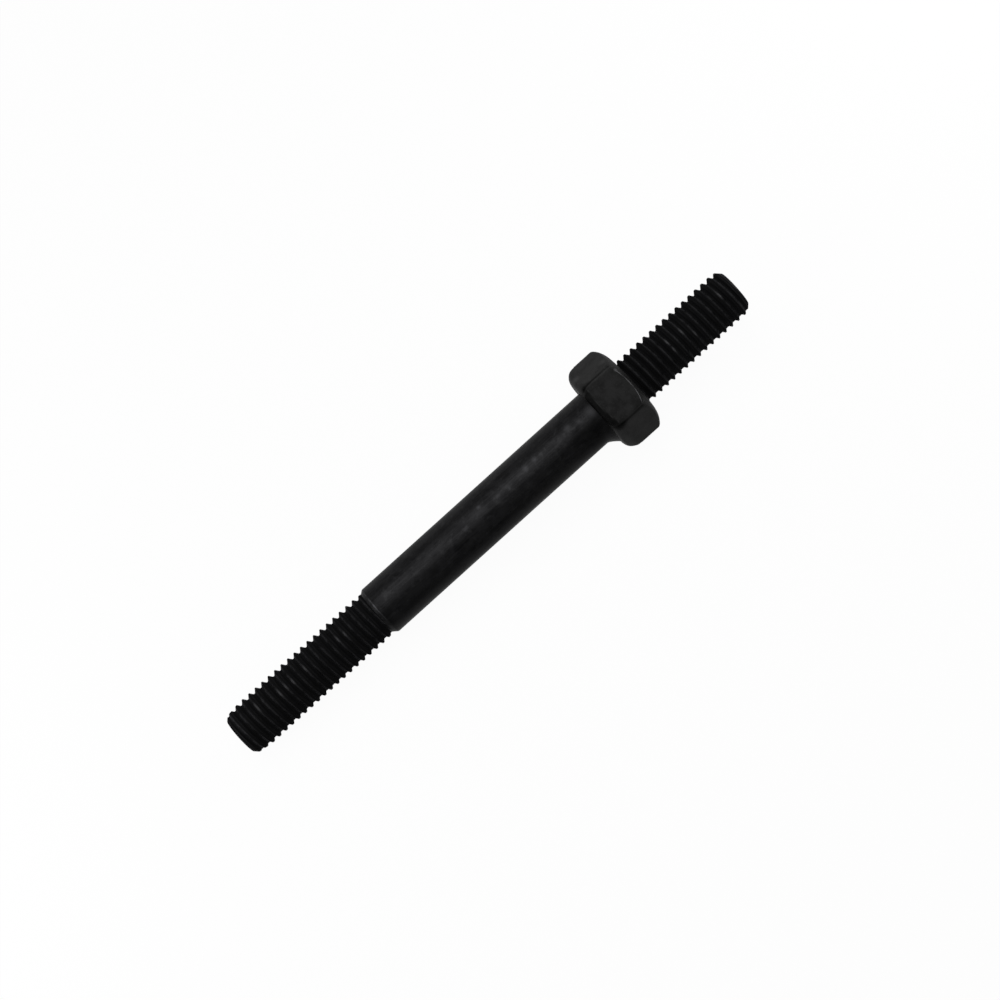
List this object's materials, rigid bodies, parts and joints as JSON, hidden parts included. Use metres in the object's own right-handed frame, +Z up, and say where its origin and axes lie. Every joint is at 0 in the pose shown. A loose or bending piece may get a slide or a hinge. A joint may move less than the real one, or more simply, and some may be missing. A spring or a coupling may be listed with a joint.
{
  "type": "double ended stud",
  "caption": "Threaded stud with a plain shank between its two threaded ends and a forged hexagon collar near the shorter end.",
  "frame": {"origin": "under the middle of the lying stud, on the surface it rests on", "axes": "+Z up, +X level towards the short thread's end, +Y across; the stud's own axis lies in the XZ plane and rises by 2.2 degrees towards +X, because it rests on its collar and on the long thread's tip"},
  "size_m": [0.096, 0.0148, 0.0132],
  "materials": {
    "black_oxide_steel": "black oxide over forged and rolled steel, matt on the collar, worn bright on its rims"
  },
  "bodies": {
    "root": {"stud": "black_oxide_steel"}
  },
  "joints": []
}
